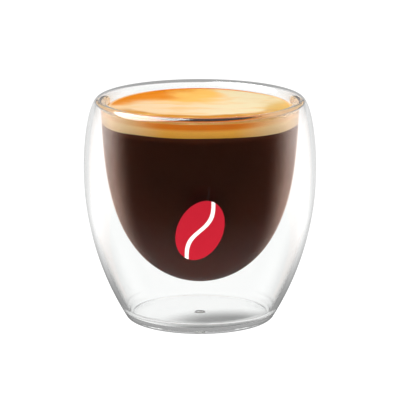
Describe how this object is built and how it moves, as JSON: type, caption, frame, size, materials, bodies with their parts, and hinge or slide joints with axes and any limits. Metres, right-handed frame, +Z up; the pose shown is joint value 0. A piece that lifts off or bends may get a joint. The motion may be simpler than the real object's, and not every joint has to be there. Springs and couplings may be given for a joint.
{
  "type": "double espresso in a double-walled glass",
  "caption": "Double espresso with a layer of crema in a rounded, clear, double-walled glass, filled nearly to its rim. It stands on its flat base.",
  "frame": {"origin": "centre of the base, on the surface that the glass stands on", "axes": "+Z up along the axis of the glass; the picture is taken from the -Y side, with +X to the right"},
  "size_m": [0.066, 0.066, 0.0635],
  "materials": {
    "glass": "clear polished borosilicate glass",
    "coffee": "nearly black brown liquid, lighter brown where it is thin at the wall",
    "crema": "fine foam, cream to golden orange, in soft bands",
    "silicone": "soft translucent white"
  },
  "bodies": {
    "root": {"glass": "glass", "coffee": "coffee", "crema": "crema", "vent_seal": "silicone"}
  },
  "joints": []
}
